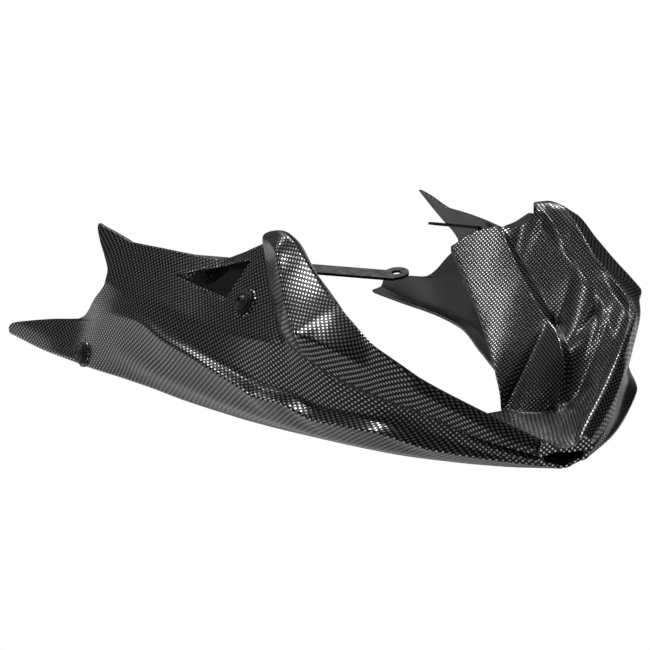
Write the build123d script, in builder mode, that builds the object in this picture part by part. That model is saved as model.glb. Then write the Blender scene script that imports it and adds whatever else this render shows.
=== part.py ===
from build123d import *
import os
from math import cos, hypot, radians, sin, sqrt

# Motorcycle belly pan, in millimetres
# X runs forward to the nose, Y to the left side, Z up. The pan stands on the keel of its two side panels.
# Origin: on the ground, on the centre plane, halfway along.

# Moulded skins
wall = 3.0               # thickness of every moulded skin
lap_gap = 0.6            # air between the cover and the panel it laps
lap_height = 14.0        # how far each panel runs up inside the cover
keel_gap = 1.5           # half the slot between the two panels at the nose
mouth_half = 44.0        # half the width of the mouth between the ears
mouth_depth = 155.0      # X where the mouth ends and the floor begins
lip_drop = 9.0           # height of the rolled lips of the floor, rear and nose
beyond = 400.0           # reach of every cut that goes right through

# Vent in the upper band of each side panel
gill_depth = 13.0        # how far the vent is let into the panel at its front wall

# Fixing stacks through the side panels
bolt_d = 6.0
bolt_run = 26.0          # bolt length under its head
head_d, head_h = 10.5, 3.3
socket_af, socket_deep = 4.0, 2.0
washer_d, washer_t = 17.0, 1.2
cup_rim = 1.2            # how far the rim of the cup washer stands up
grommet_d, grommet_neck, grommet_flange = 20.0, 13.0, 2.5
grommet_tail = 12.0      # rubber standing in from the back of the panel
sleeve_d, sleeve_bore, sleeve_proud = 9.0, 6.6, 1.0
seat_d, seat_proud = 26.0, 0.6   # flat moulded round each fixing
fit_gap = 0.15           # clearance of pieces that slide together
front_fix = (74, 117)            # x, z of each fixing on its panel
right_rear_fix = (-174, 27)
left_rear_fix = (-117, 66)

# Screws driven from inside: cover to panels, and brackets to panels
lap_screw_d, lap_boss_d, lap_washer_d = 4.0, 9.0, 12.0
lap_screw_x = (112, 214)         # along each lapped edge
lap_screw_rise = 8.0             # above the edge of the cover
strap_screw_d, strap_boss_d, strap_washer_d = 5.0, 12.0, 12.0
strap_boss_rise = 6.0
inner_washer_t = 1.0
boss_skin = 1.4                  # plastic left over the end of each blind hole

# Steel brackets
strap_w, strap_t = 16.0, 2.5
strap_z = 130.0          # height of each bar at its panel
eye_d = 8.5              # hole in each free end
lug_d = 22.0
lug_shift = 5.0          # how far the bar's middle lies in front of the eye
strap_drop = 16.0        # from the bar down to the screw of its tab
tab_w, tab_foot = 24.0, 9.0
right_strap = dict(x=-76, eye=(91, 25), twist=13)
left_strap = dict(x=-46, eye=(-83, 130), twist=-13)
strap_clear = 6.0        # air between the right bracket and the ear that it passes

# Character lines of one side panel, mouldings of the left side: x, y, z
panel_lines = dict(
    lip=[(-340, 198, 15), (-250, 199, 13), (-195, 196, 14), (-143, 190, 13), (-62, 164, 6), (0, 143, 1),
         (40, 131, 0), (80, 118, 0), (120, 102, 0), (160, 83, 0), (200, 59, 0), (235, 33, 0), (262, 13, 0.5),
         (285, 1, 1), (312, -8, 3), (330, -16, 4)],
    keel=[(-340, 215, 19), (-256, 208, 14), (-173, 204, 15), (-130, 197, 15), (-86, 184, 12), (-40, 168, 6),
          (0, 155, 3), (40, 143, 1), (80, 131, 0.5), (120, 118, 0.5), (160, 104, 0.5), (200, 87, 0.5),
          (240, 63, 1), (285, 33, 3), (312, 8, 5), (330, -10, 6)],
    bilge=[(-340, 217, 28), (-250, 205, 30), (-195, 200, 30), (-143, 203, 40), (-100, 203, 42), (-62, 200, 38),
           (-15, 192, 32), (32, 184, 28), (71, 175, 24), (105, 165, 21), (149, 149, 17), (181, 133, 14),
           (213, 114, 12), (240, 92, 10), (285, 50, 8), (312, 16, 8), (330, -6, 8)],
    swage=[(-340, 213, 48), (-250, 198, 50), (-195, 192, 56), (-143, 198, 68), (-100, 200, 76), (-62, 201, 79),
           (-15, 203, 72), (32, 200, 66), (71, 197, 60), (105, 192, 53), (124, 188, 48), (149, 180, 48),
           (181, 165, 38), (213, 148, 36), (229, 137, 35), (262, 100, 22), (285, 72, 17), (312, 27, 10),
           (330, 2, 8)],
    scoop=[(-340, 205, 75), (-250, 196, 75), (-195, 192, 80), (-143, 195, 86), (-62, 196, 85), (-15, 196, 78),
           (32, 192, 72), (71, 188, 66), (105, 182, 60), (124, 177, 56), (149, 168, 54), (181, 153, 46),
           (213, 135, 44), (229, 124, 42), (262, 92, 30), (285, 67, 22), (312, 28, 14), (330, 4, 10)],
    crease=[(-340, 198, 100), (-143, 193, 101), (-100, 192, 97), (-47, 190, 98), (-2, 188, 95), (40, 185, 92),
            (88, 180, 94), (129, 175, 96), (149, 169, 94), (161, 167, 87), (184, 158, 77), (206, 141, 63),
            (229, 122, 54), (251, 101, 45), (292, 59, 25), (313, 29, 15), (330, 6, 11)],
)
# Upper band, where it stands clear of the cover
band_edge = [(-340, 178, 140), (-190, 178, 141), (-135, 172, 137), (-96, 168, 137), (-51, 160, 139),
             (1, 149, 139), (31, 143, 152), (50, 139.5, 160)]
band_top = [(-340, 160, 172), (-190, 160, 172), (-96, 147, 172), (1, 128, 165), (31, 137, 166),
            (50, 135.5, 174)]
lap_start = 60           # X where the panel goes in under the cover

# Character lines of one half of the front cover, from its lapped edge to just past the centre plane
cover_lines = dict(
    step=[(14, 136, 196), (58, 141, 166), (63, 143, 163), (99, 157, 133), (137, 169, 109), (149, 172, 103),
          (161, 171, 96), (184, 163, 85), (206, 146, 71), (229, 127, 61), (251, 105, 52), (292, 62, 31),
          (313, 30, 20), (320, 18, 15)],
    ridge=[(14, 136, 201), (58, 141.5, 171), (105, 155, 169), (129, 163, 149), (146, 169, 134), (166, 175, 119),
           (176, 177, 112), (188, 167, 107), (210, 152, 98), (231, 131, 82), (242, 118, 74), (258, 103, 68),
           (279, 80, 54), (300, 49, 36), (320, 19, 21)],
    crest=[(14, 131, 206), (58, 136, 175), (88, 141, 180), (101, 141, 179), (165, 137.5, 140.5),
           (228, 133, 108), (243, 118, 93), (252, 106, 82), (278, 72, 60), (302, 38, 40), (320, 16, 26)],
    crown=[(14, 124, 206), (58, 129, 175), (88, 134, 179), (101, 134, 176), (142, 134, 150), (176, 133, 129),
           (211, 131, 108), (228, 126, 103), (243, 111, 90), (252, 99, 80), (278, 65, 58), (302, 31, 38),
           (320, 9, 26)],
    rib_foot=[(14, 119, 204), (58, 124, 171), (84, 126, 172), (92, 127, 172), (128, 127, 149), (164, 125, 125),
              (198, 123, 103), (207, 119, 98), (214, 116, 93), (228, 112, 82), (243, 99, 73), (252, 88, 65),
              (278, 55, 48), (302, 25, 33), (320, 7, 23)],
    pocket_out=[(14, 115, 200), (58, 120, 168), (84, 121, 162), (90, 122, 162), (97, 124, 159), (184, 121, 106),
                (188, 119, 97), (205, 112, 90), (212, 106, 76), (228, 96, 56), (243, 86, 49), (252, 76, 44),
                (278, 46, 36), (302, 20, 28), (320, 5.6, 22)],
    pocket_in=[(14, 111, 195), (39, 108, 173), (67, 105.5, 151), (81, 107, 137), (143, 103, 93), (152, 103, 83),
               (158, 101, 81), (182, 92, 75), (193, 88, 68), (206, 86, 46), (216, 84, 35), (237, 72, 34),
               (252, 61, 32), (278, 38, 29), (302, 16, 26), (320, 4.2, 22)],
    shoulder=[(14, 108, 190), (39, 104.5, 170), (66, 102, 150), (92, 99, 129), (114, 96, 113), (137, 94, 97),
              (151, 93, 89), (166, 91, 84), (180, 86, 78), (192, 81, 71), (199, 79, 62), (205, 78, 35),
              (212, 77, 26), (228, 68, 25), (252, 50, 25), (278, 30, 25.4), (302, 12, 25), (320, 2.8, 22)],
    foot=[(14, 68, 125), (20, 67, 120), (49, 63, 99), (82, 57, 74), (112, 49, 53), (138, 41, 34), (150, 38, 20),
          (155, 45, 13), (170, 50, 14), (188, 60, 16), (199, 68, 18), (212, 62, 19), (228, 54, 20), (252, 40, 21),
          (278, 22, 23), (302, 8, 24), (320, 1.4, 22)],
    centre=[(14, -4, 90), (82, -4, 46), (138, -4, 20), (150, -4, 14), (155, -4, 12), (200, -4, 14),
            (250, -4, 18), (300, -4, 23), (320, -4, 22)],
)
# Plan view of the rear of each ear: up its free inner edge, then along its top
ear_edge = [(152, 45), (138, 49), (112, 58), (82, 66), (49, 72), (21, 76), (39, 91), (63, 106), (78, 119),
            (84, 127), (60, 139)]
panel_stations = [-330, -290, -250, -210, -170, -130, -90, -50, -10, 25, 50, 60, 85, 110, 135, 150, 165, 185,
                  205, 225, 250, 270, 287, 302, 314.5]
cover_stations = [16, 28, 42, 58, 66, 75, 84, 91, 97, 104, 116, 128, 140, 150, 155, 162, 170, 178, 186, 193,
                  199, 205, 212, 220, 228, 238, 250, 264, 278, 292, 304, 315]


def along(line, x):
    """Point (y, z) of a character line at x, on a curve that never overshoots its points."""
    xs = [p[0] for p in line]
    i = max(0, min(len(xs) - 2, sum(1 for v in xs if v <= x) - 1))
    h = xs[i + 1] - xs[i]
    t = (x - xs[i]) / h
    out = []
    for k in (1, 2):
        rise = [(b[k] - a[k]) / (b[0] - a[0]) for a, b in zip(line, line[1:])]

        def slope(j):
            if j == 0 or j == len(line) - 1:
                return rise[min(j, len(rise) - 1)]
            a, b = rise[j - 1], rise[j]
            return 0.0 if a * b <= 0 else 2 * a * b / (a + b)

        p, q, m, n = line[i][k], line[i + 1][k], slope(i) * h, slope(i + 1) * h
        out.append(p + m * t + (3 * (q - p) - 2 * m - n) * t ** 2 + (2 * (p - q) + m + n) * t ** 3)
    return tuple(out)


def inside(points_at, x, depth):
    """The row of points at x moved inwards by depth, measured square to the skin."""
    row, ahead, behind = points_at(x), points_at(x + 1), points_at(x - 1)
    sides = []
    for i in range(len(row) - 1):
        dy, dz = row[i + 1][0] - row[i][0], row[i + 1][1] - row[i][1]
        size = hypot(dy, dz)
        n = (-dz / size, dy / size)
        drift = sum(n[k] * (ahead[j][k] - behind[j][k]) / 2 for k in (0, 1) for j in (i, i + 1)) / 2
        sides.append((n, min(depth * sqrt(1 + drift ** 2), 2.2 * depth)))
    moved = []
    for i, p in enumerate(row):
        (a, da), (b, db) = sides[max(i - 1, 0)], sides[min(i, len(sides) - 1)]
        cross = a[0] * b[1] - a[1] * b[0]
        if abs(cross) < 0.15:
            d = (da + db) / 2
            m = (a[0] + b[0], a[1] + b[1])
            size = hypot(*m)
            step = (m[0] / size * d, m[1] / size * d)
        else:
            step = ((da * b[1] - db * a[1]) / cross, (db * a[0] - da * b[0]) / cross)
        moved.append((p[0] + step[0], p[1] + step[1]))
    # A ridge narrower than the skin keeps a short flat on its inside
    for i in range(len(row) - 1):
        along_row = (row[i + 1][0] - row[i][0], row[i + 1][1] - row[i][1])
        turned = (moved[i + 1][0] - moved[i][0]) * along_row[0] + (moved[i + 1][1] - moved[i][1]) * along_row[1]
        if turned < 0.05 * hypot(*along_row) ** 2:
            middle = [(moved[i][k] + moved[i + 1][k]) / 2 for k in (0, 1)]
            moved[i] = tuple(middle[k] - 0.1 * along_row[k] for k in (0, 1))
            moved[i + 1] = tuple(middle[k] + 0.1 * along_row[k] for k in (0, 1))
    return moved


def cover_row(x):
    return [along(line, x) for line in cover_lines.values()]


def panel_row(x):
    row = [along(line, x) for line in panel_lines.values()]
    if x < lap_start - 5:
        return row + [along(band_edge, x), along(band_top, x)]
    first, second = inside(cover_row, x, wall + lap_gap)[:2]
    run = hypot(second[0] - first[0], second[1] - first[1])
    # The lapped edge stays low where the cover is narrow, and runs out at the nose
    k = min(lap_height / run, 0.6, (1 + 0.5 * max(0, cover_stations[-1] - x)) / run)
    return row + [first, (first[0] + k * (second[0] - first[0]), first[1] + k * (second[1] - first[1]))]


def skin(points_at, stations, ruled):
    """A moulded skin: thin closed sections, one for each station, joined lengthwise."""
    sections = []
    for x in stations:
        with BuildSketch(Plane.YZ.offset(x)) as section:
            with BuildLine():
                Polyline(*points_at(x), *reversed(inside(points_at, x, wall)), close=True)
            make_face()
        sections.append(section.sketch)
    return loft(sections, ruled=ruled, mode=Mode.PRIVATE)


def skin_plane(points_at, x, i, k):
    """Plane on the skin at x, a share k along side i of its row, facing outwards."""
    spots = []
    for station in (x, x + 1):
        a, b = points_at(station)[i:i + 2]
        spots.append(Vector(station, a[0] + k * (b[0] - a[0]), a[1] + k * (b[1] - a[1])))
    a, b = points_at(x)[i:i + 2]
    lengthwise = spots[1] - spots[0]
    outwards = Vector(0, b[0] - a[0], b[1] - a[1]).cross(lengthwise)
    return Plane(origin=spots[0], x_dir=lengthwise, z_dir=outwards)


def panel_plane(x, z):
    """Plane on the left panel's outer skin at x and height z."""
    row = panel_row(x)
    i = next(n for n in range(1, len(row) - 1) if row[n][1] <= z <= row[n + 1][1])
    return skin_plane(panel_row, x, i, (z - row[i][1]) / (row[i + 1][1] - row[i][1]))


def lap_plane(x):
    """Plane on the cover's outer skin, above its lapped edge."""
    a, b = cover_row(x)[:2]
    return skin_plane(cover_row, x, 0, lap_screw_rise / hypot(b[0] - a[0], b[1] - a[1]))


def turned(plane, profile):
    """A turned piece: a profile of (radius, height) points about the plane's normal."""
    with BuildPart() as piece:
        with BuildSketch(Plane(origin=plane.origin, x_dir=plane.x_dir, z_dir=-plane.y_dir)):
            with BuildLine():
                Polyline(*profile, close=True)
            make_face()
        revolve(axis=Axis(plane.origin, plane.z_dir))
    return piece.part


def disc(plane, low, high, diameter):
    """A round bar between two heights over a plane."""
    return turned(plane, [(0, low), (diameter / 2, low), (diameter / 2, high), (0, high)])


def strap_plane(x):
    """Where a bracket's screw stands: on the upper band, a little under its bar."""
    return panel_plane(x, strap_z - strap_drop)


def strap_bar(x, eye, twist):
    """Plane of a bracket's flat bar, from its tab to its eye, the bar's length, and its height on the tab."""
    plane = strap_plane(x)
    tab = plane.origin - plane.z_dir * (strap_back + strap_t / 2)
    rise = (strap_z - tab.Z) / -plane.y_dir.Z
    root = tab - plane.y_dir * rise
    reach = Vector(*eye, strap_z) - root
    across = Vector(0, 0, 1).cross(reach).normalized()
    up = Vector(0, 0, cos(radians(twist))) + across * sin(radians(twist))
    return Plane(origin=root, x_dir=reach, z_dir=up), reach.length, rise


def save(part, name):
    part.label = name
    export_step(part, "parts/" + name + ".step")


os.makedirs("parts", exist_ok=True)
lap_depth = wall + lap_gap               # from the cover's face to the panel's under it
lap_back = lap_depth + wall - 0.1        # to the spot-faced back of the panel
strap_back = wall + strap_boss_rise      # from the panel's face to the tab of a bracket
lap_planes = [lap_plane(x) for x in lap_screw_x]

# Front cover: one half, cut back to the curved rear edge of its ear
with BuildPart() as cover_half:
    add(skin(cover_row, cover_stations, True))
    with BuildSketch():
        with BuildLine():
            Polyline((0, -1), (ear_edge[0][0], -1), *ear_edge, (58, 139), (58, 300), (0, 300), close=True)
        make_face()
    extrude(amount=beyond, mode=Mode.SUBTRACT)
    nose_x = cover_stations[-1]
    with BuildSketch(Plane.YZ.offset(nose_x)):
        with BuildLine():
            end_y, end_z = cover_row(nose_x)[-1]
            Polyline(*cover_row(nose_x), (end_y, end_z - lip_drop), close=True)
        make_face()
    extrude(amount=wall)
    with Locations((0, -beyond / 2, 0)):
        Box(2 * beyond, beyond, 2 * beyond, mode=Mode.SUBTRACT)
    for plane in lap_planes:
        add(disc(plane, -lap_back + 0.2, -wall / 2, lap_boss_d))
        add(disc(plane, -lap_back - wall, -boss_skin, lap_screw_d + 0.1), mode=Mode.SUBTRACT)

# Both halves joined, with the mouth for the exhaust cut between the ears
with BuildPart() as front_cover:
    add(cover_half.part)
    mirror(about=Plane.XZ)
    floor_z = along(cover_lines["centre"], mouth_depth)[1]
    with Locations((mouth_depth + wall / 2, 0, floor_z - lip_drop / 2)):
        Box(wall, 2 * (mouth_half + 8), lip_drop)
    Box(2 * mouth_depth, 2 * mouth_half, 2 * beyond, mode=Mode.SUBTRACT)
    # The corner of the right ear makes way for the bracket
    bar, length, _ = strap_bar(**right_strap)
    with BuildPart(mode=Mode.PRIVATE) as clearance:
        with BuildSketch(bar):
            with Locations((length / 2, lug_shift)):
                Rectangle(2 * length, strap_w + 2 * strap_clear)
        extrude(amount=strap_w, both=True)
    add(mirror(clearance.part, about=Plane.XZ, mode=Mode.PRIVATE), mode=Mode.SUBTRACT)
save(front_cover.part, "front_cover")


def gill_block(margin, outer, rear_depth, front_depth):
    """The tapering vent of the upper band: from a line on the skin to its deep front wall."""
    normal = panel_plane(20, 128).z_dir
    ends = []
    for low, high, depth in (((-43, 121), (3, 135), rear_depth), ((43, 116), (50, 148), front_depth)):
        a, b = panel_plane(*low).origin, panel_plane(*high).origin
        edge = b - a
        plane = Plane(origin=a, x_dir=edge, z_dir=edge.cross(normal))
        with BuildSketch(plane) as end:
            with BuildLine():
                Polyline((-margin, -depth), (edge.length + margin, -depth),
                         (edge.length + margin, outer), (-margin, outer), close=True)
            make_face()
        ends.append(end.sketch)
    return loft(ends, ruled=True, mode=Mode.PRIVATE)


def side_panel(rear_fix, strap_x):
    """The left side panel; its rear fixing and its bracket stand where they are asked for."""
    with BuildPart() as panel:
        add(skin(panel_row, panel_stations, False))
        add(gill_block(wall, -wall / 2, wall, gill_depth + wall))
        add(gill_block(0, gill_depth, 0.2, gill_depth), mode=Mode.SUBTRACT)
        # Side view: the fish tail behind, the dip at the vent, the nose
        with BuildSketch(Plane.XZ):
            with BuildLine():
                Spline((-190, 144), (-162, 140.5), (-132, 135.5))
                Spline((-132, 135.5), (-85, 137.5), (-2, 139.5))
                Polyline((-2, 139.5), (31, 152), (58, 164.5), (62, 190), (330, 190), (330, -20), (-300, -20),
                         (-304, 8), (-314, 14), (-318, 19), (-317, 25), (-311, 30), (-296, 34))
                Spline((-296, 34), (-246, 45), (-203, 53))
                Spline((-203, 53), (-188, 60), (-168, 77), (-144, 100))
                Spline((-144, 100), (-146, 107), (-160, 118), (-178, 131), (-190, 144))
            make_face()
        extrude(amount=beyond, both=True, mode=Mode.INTERSECT)
        with Locations((0, keel_gap - beyond / 2, 0)):
            Box(2 * beyond, beyond, 2 * beyond, mode=Mode.SUBTRACT)
        for fix in (front_fix, rear_fix):
            plane = panel_plane(*fix)
            add(disc(plane, -wall - seat_proud, seat_proud, seat_d))
            add(disc(plane, seat_proud, seat_proud + 8, seat_d), mode=Mode.SUBTRACT)
            add(disc(plane, -wall - seat_proud - 8, -wall - seat_proud, seat_d), mode=Mode.SUBTRACT)
            add(disc(plane, -2 * wall, 2 * wall, grommet_neck + 2 * fit_gap), mode=Mode.SUBTRACT)
        for plane in lap_planes:
            add(disc(plane, -lap_back - 6, -lap_back, lap_washer_d + 1), mode=Mode.SUBTRACT)
            add(disc(plane, -lap_back - 1, 0, lap_boss_d + 2 * fit_gap), mode=Mode.SUBTRACT)
        plane = strap_plane(strap_x)
        add(disc(plane, -strap_back, -wall / 2, strap_boss_d))
        add(disc(plane, -strap_back - 1, -boss_skin, strap_screw_d + 0.1), mode=Mode.SUBTRACT)
    return panel.part


def bracket(x, eye, twist):
    """A flat steel bar on a bent tab, with an eye at its free end; left side."""
    plane = strap_plane(x)
    bar, length, rise = strap_bar(x, eye, twist)
    with BuildPart() as piece:
        with BuildSketch(bar):
            with Locations((length / 2, lug_shift)):
                Rectangle(length + 2 * strap_t, strap_w)
            with Locations((length, 0)):
                Circle(lug_d / 2)
                Circle(eye_d / 2, mode=Mode.SUBTRACT)
        extrude(amount=strap_t)
        with BuildSketch(plane.offset(-strap_back)):
            Rectangle(6 * tab_w, 6 * tab_w)
        extrude(amount=6 * tab_w, mode=Mode.SUBTRACT)
        with BuildSketch(plane.offset(-strap_back - strap_t)):
            with Locations((0, (tab_foot - rise) / 2)):
                RectangleRounded(tab_w, rise + tab_foot, 4)
            Circle(strap_screw_d / 2 + 2 * fit_gap, mode=Mode.SUBTRACT)
        extrude(amount=strap_t)
    return piece.part


def inner_screw(plane, seat, shaft_d, washer_size, name, mirrored):
    """A pan-head screw and its washer, driven outwards from behind the plane."""
    under = seat - inner_washer_t
    head = shaft_d * 0.95
    washer = turned(plane, [(shaft_d / 2 + fit_gap, under), (washer_size / 2, under), (washer_size / 2, seat),
                            (shaft_d / 2 + fit_gap, seat)])
    screw = turned(plane, [(0, -boss_skin - 0.4), (shaft_d / 2 - 0.4, -boss_skin - 0.4),
                           (shaft_d / 2, -boss_skin - 1.2), (shaft_d / 2, under), (head, under),
                           (head, under - head / 2), (head * 0.7, under - head * 0.75),
                           (0, under - head * 0.75)])
    for piece, kind in ((washer, "_washer"), (screw, "_screw")):
        save(mirror(piece, about=Plane.XZ, mode=Mode.PRIVATE) if mirrored else piece, name + kind)


def fixing(plane, name, mirrored):
    """Bolt, cup washer, rubber grommet and metal sleeve through a side panel."""
    face, back = seat_proud, -wall - seat_proud
    top, tail = face + grommet_flange, back - grommet_tail
    bore = sleeve_d / 2 + fit_gap
    neck, collar = grommet_neck / 2, grommet_d / 2
    grommet = turned(plane, [(bore, top), (collar - 0.8, top), (collar, top - 0.8), (collar, face), (neck, face),
                             (neck, back), (collar - 2, back), (collar - 2, back - 2.5), (neck + 0.5, tail),
                             (bore, tail)])
    sleeve = turned(plane, [(sleeve_bore / 2, top), (sleeve_d / 2, top), (sleeve_d / 2, tail - sleeve_proud),
                            (sleeve_bore / 2, tail - sleeve_proud)])
    seat = top + washer_t
    rim = washer_d / 2
    washer = turned(plane, [(sleeve_bore / 2, top), (rim - 0.6, top), (rim, top + 0.6), (rim, seat + cup_rim),
                            (rim - 1.1, seat + cup_rim), (rim - 1.8, seat), (sleeve_bore / 2, seat)])
    with BuildPart() as bolt:
        with BuildSketch(Plane(origin=plane.origin, x_dir=plane.x_dir, z_dir=-plane.y_dir)):
            with BuildLine():
                Polyline((0, seat + head_h), (0, seat - bolt_run), (bolt_d / 2 - 0.6, seat - bolt_run),
                         (bolt_d / 2, seat - bolt_run + 0.6), (bolt_d / 2, seat), (head_d / 2, seat),
                         (head_d / 2, seat + 0.6))
                RadiusArc((head_d / 2, seat + 0.6), (socket_af * 0.62, seat + head_h), -head_d * 0.55)
                Line((socket_af * 0.62, seat + head_h), (0, seat + head_h))
            make_face()
        revolve(axis=Axis(plane.origin, plane.z_dir))
        with BuildSketch(plane.offset(seat + head_h)):
            RegularPolygon(socket_af / 2, 6, major_radius=False)
        extrude(amount=-socket_deep, mode=Mode.SUBTRACT)
    for piece, kind in ((grommet, "_grommet"), (sleeve, "_sleeve"), (washer, "_cup_washer"), (bolt.part, "_bolt")):
        save(mirror(piece, about=Plane.XZ, mode=Mode.PRIVATE) if mirrored else piece, name + kind)


# Side panels, brackets and everything that holds them, side by side
for side, rear_fix, strap in (("left", left_rear_fix, left_strap), ("right", right_rear_fix, right_strap)):
    mirrored = side == "right"
    for piece, kind in ((side_panel(rear_fix, strap["x"]), "_side_panel"), (bracket(**strap), "_engine_bracket")):
        save(mirror(piece, about=Plane.XZ, mode=Mode.PRIVATE) if mirrored else piece, side + kind)
    fixing(panel_plane(*front_fix), side + "_front", mirrored)
    fixing(panel_plane(*rear_fix), side + "_rear", mirrored)
    for place, plane in zip(("lap_rear", "lap_front"), lap_planes):
        inner_screw(plane, -lap_back, lap_screw_d, lap_washer_d, side + "_" + place, mirrored)
    inner_screw(strap_plane(strap["x"]), -strap_back - strap_t, strap_screw_d, strap_washer_d,
                side + "_bracket", mirrored)
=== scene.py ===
import math
from math import hypot, sqrt

import bmesh
import bpy
import numpy as np
from mathutils import Matrix, Vector


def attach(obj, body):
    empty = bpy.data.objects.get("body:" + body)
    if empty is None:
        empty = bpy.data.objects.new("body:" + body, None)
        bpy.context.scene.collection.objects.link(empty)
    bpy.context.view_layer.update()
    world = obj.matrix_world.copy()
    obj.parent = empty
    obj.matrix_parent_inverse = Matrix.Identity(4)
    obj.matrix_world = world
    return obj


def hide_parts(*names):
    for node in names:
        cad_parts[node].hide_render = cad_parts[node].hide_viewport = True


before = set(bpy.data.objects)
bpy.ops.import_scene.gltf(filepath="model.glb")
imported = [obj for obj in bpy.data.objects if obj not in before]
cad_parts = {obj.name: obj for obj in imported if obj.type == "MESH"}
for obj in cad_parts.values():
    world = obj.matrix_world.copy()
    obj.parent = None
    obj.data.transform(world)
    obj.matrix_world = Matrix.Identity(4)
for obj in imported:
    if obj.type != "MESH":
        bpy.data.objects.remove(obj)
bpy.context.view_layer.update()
scene = bpy.context.scene
MM = 0.001

# Named sizes in millimetres, as in the part's source
wall, lap_gap, lap_height, lap_start, keel_gap = 3.0, 0.6, 14.0, 60, 1.5
mouth_half, mouth_depth, lip_drop, nose_x = 44.0, 155.0, 9.0, 315.0
gill_depth = 13.0
front_fix, right_rear_fix, left_rear_fix = (74, 117), (-174, 27), (-117, 66)
seat_d, seat_proud, grommet_neck, fit_gap = 26.0, 0.6, 13.0, 0.15
lap_screw_x, lap_screw_rise = (112, 214), 8.0
lap_screw_d, lap_boss_d, lap_washer_d = 4.0, 9.0, 12.0
strap_screw_d, strap_boss_d, strap_boss_rise, boss_skin = 5.0, 12.0, 6.0, 1.4
strap_w, strap_t, strap_z, strap_drop, lug_shift, strap_clear = 16.0, 2.5, 130.0, 16.0, 5.0, 6.0
right_strap = dict(x=-76, eye=(91, 25), twist=13)
left_strap = dict(x=-46, eye=(-83, 130), twist=-13)
band_end = 50            # the upper band stands clear of the cover up to here
foot_round = 3.0         # rounding at the foot of the cover's ears

# Sizes that only the dressed model has
STEP = 1.5               # spacing of the sampled sections
ROUND = 5                # sides of every rounded corner
TURNS = 64               # sides of every round boss and hole
rim_round, lip_round = 0.5, 0.6
bore_ease = 0.1          # how much wider than its screw a bore is
tail_inset, tail_from, tail_run = 0.97, -240, 70

# Grid of a skin: columns behind and ahead of the mouth, and the fine rows that its pattern is measured from
panel_columns, cover_columns, nose_columns = 300, 90, 108
panel_zero_row, cover_zero_row, ear_first_row = 22, 12, 20
edge_crowd = 1.4         # crowds the first points of the cover towards its lapped edge
# The pattern over the ears: its two directions, and how much closer it stands there
ear_travel, ear_across = (0.91, 0.388, 0.137), (-0.332, 0.494, 0.807)
travel_share, across_share = 1.27, 1.16

# Material slots of a skin; the third holds the film with painted shade for the vent. A tool's faces are marked
# with that third slot until finish_skin sorts them
FILM, PLAIN, PAINTED_SHADE = 0, 1, 2
painted_shade_x = (-0.05, 0.055)    # where the vent's own faces take the film with painted shade, in metres
inward, endwise = -0.3, 0.8  # how far a face's normal turns inwards, and along x at the nose

# Character lines of one side panel, mouldings of the left side: x, y, z
panel_lines = dict(
    lip=[(-340, 198, 15), (-250, 199, 13), (-195, 196, 14), (-143, 190, 13), (-62, 164, 6), (0, 143, 1),
         (40, 131, 0), (80, 118, 0), (120, 102, 0), (160, 83, 0), (200, 59, 0), (235, 33, 0), (262, 13, 0.5),
         (285, 1, 1), (312, -8, 3), (330, -16, 4)],
    keel=[(-340, 215, 19), (-256, 208, 14), (-173, 204, 15), (-130, 197, 15), (-86, 184, 12), (-40, 168, 6),
          (0, 155, 3), (40, 143, 1), (80, 131, 0.5), (120, 118, 0.5), (160, 104, 0.5), (200, 87, 0.5),
          (240, 63, 1), (285, 33, 3), (312, 8, 5), (330, -10, 6)],
    bilge=[(-340, 217, 28), (-250, 205, 30), (-195, 200, 30), (-143, 203, 40), (-100, 203, 42), (-62, 200, 38),
           (-15, 192, 32), (32, 184, 28), (71, 175, 24), (105, 165, 21), (149, 149, 17), (181, 133, 14),
           (213, 114, 12), (240, 92, 10), (285, 50, 8), (312, 16, 8), (330, -6, 8)],
    swage=[(-340, 213, 48), (-250, 198, 50), (-195, 192, 56), (-143, 198, 68), (-100, 200, 76), (-62, 201, 79),
           (-15, 203, 72), (32, 200, 66), (71, 197, 60), (105, 192, 53), (124, 188, 48), (149, 180, 48),
           (181, 165, 38), (213, 148, 36), (229, 137, 35), (262, 100, 22), (285, 72, 17), (312, 27, 10),
           (330, 2, 8)],
    scoop=[(-340, 205, 75), (-250, 196, 75), (-195, 192, 80), (-143, 195, 86), (-62, 196, 85), (-15, 196, 78),
           (32, 192, 72), (71, 188, 66), (105, 182, 60), (124, 177, 56), (149, 168, 54), (181, 153, 46),
           (213, 135, 44), (229, 124, 42), (262, 92, 30), (285, 67, 22), (312, 28, 14), (330, 4, 10)],
    crease=[(-340, 198, 100), (-143, 193, 101), (-100, 192, 97), (-47, 190, 98), (-2, 188, 95), (40, 185, 92),
            (88, 180, 94), (129, 175, 96), (149, 169, 94), (161, 167, 87), (184, 158, 77), (206, 141, 63),
            (229, 122, 54), (251, 101, 45), (292, 59, 25), (313, 29, 15), (330, 6, 11)],
)
# Upper band, where it stands clear of the cover
band_edge = [(-340, 178, 140), (-190, 178, 141), (-135, 172, 137), (-96, 168, 137), (-51, 160, 139),
             (1, 149, 139), (31, 143, 152), (50, 139.5, 160)]
band_top = [(-340, 160, 172), (-190, 160, 172), (-96, 147, 172), (1, 128, 165), (31, 137, 166),
            (50, 135.5, 174)]
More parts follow.
